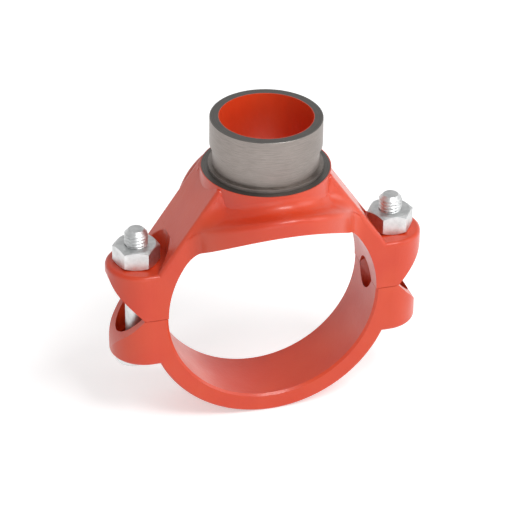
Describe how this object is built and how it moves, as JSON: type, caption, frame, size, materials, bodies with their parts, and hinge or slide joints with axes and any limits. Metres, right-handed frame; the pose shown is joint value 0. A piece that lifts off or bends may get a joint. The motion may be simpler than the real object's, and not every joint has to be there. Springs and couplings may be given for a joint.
{
  "type": "mechanical tee",
  "caption": "Bolted pipe branch fitting: an outlet housing with a grooved neck and a strap clamp round a run pipe over a hole, sealed by a gasket and drawn together by track bolts and nuts.",
  "frame": {"origin": "where the run pipe's axis crosses the outlet's axis, on the parting plane of the two castings", "axes": "+Y along the run pipe, +Z out of the outlet, +X towards one bolt"},
  "size_m": [0.1764, 0.096, 0.1746],
  "materials": {
    "painted_casting": "orange-red gloss paint on ductile iron, bare machined neck",
    "gasket_rubber": "moulded black rubber",
    "zinc_steel": "bright zinc-plated steel"
  },
  "bodies": {
    "housing": {"outlet_housing": "painted_casting", "gasket": "gasket_rubber"},
    "strap": {"strap_housing": "painted_casting", "bolt_left": "zinc_steel", "bolt_right": "zinc_steel"},
    "nut_left": {"nut_left": "zinc_steel"},
    "nut_right": {"nut_right": "zinc_steel"}
  },
  "joints": [
    {"name": "strap_drop", "type": "slide", "parent": "housing", "child": "strap", "axis": [0, 0, -1], "range_m": [0, 0.0084]},
    {"name": "nut_left_turn", "type": "hinge", "parent": "housing", "child": "nut_left", "pos_m": [-0.07145, 0, 0.033], "axis": [0, 0, 1], "range_deg": [0, 1550]},
    {"name": "nut_right_turn", "type": "hinge", "parent": "housing", "child": "nut_right", "pos_m": [0.07145, 0, 0.033], "axis": [0, 0, 1], "range_deg": [0, 1550]}
  ],
  "couplings": [
    {"joint": "nut_left_turn", "follows": "strap_drop", "rad_per_m": 3215.8},
    {"joint": "nut_right_turn", "follows": "strap_drop", "rad_per_m": 3215.8}
  ]
}
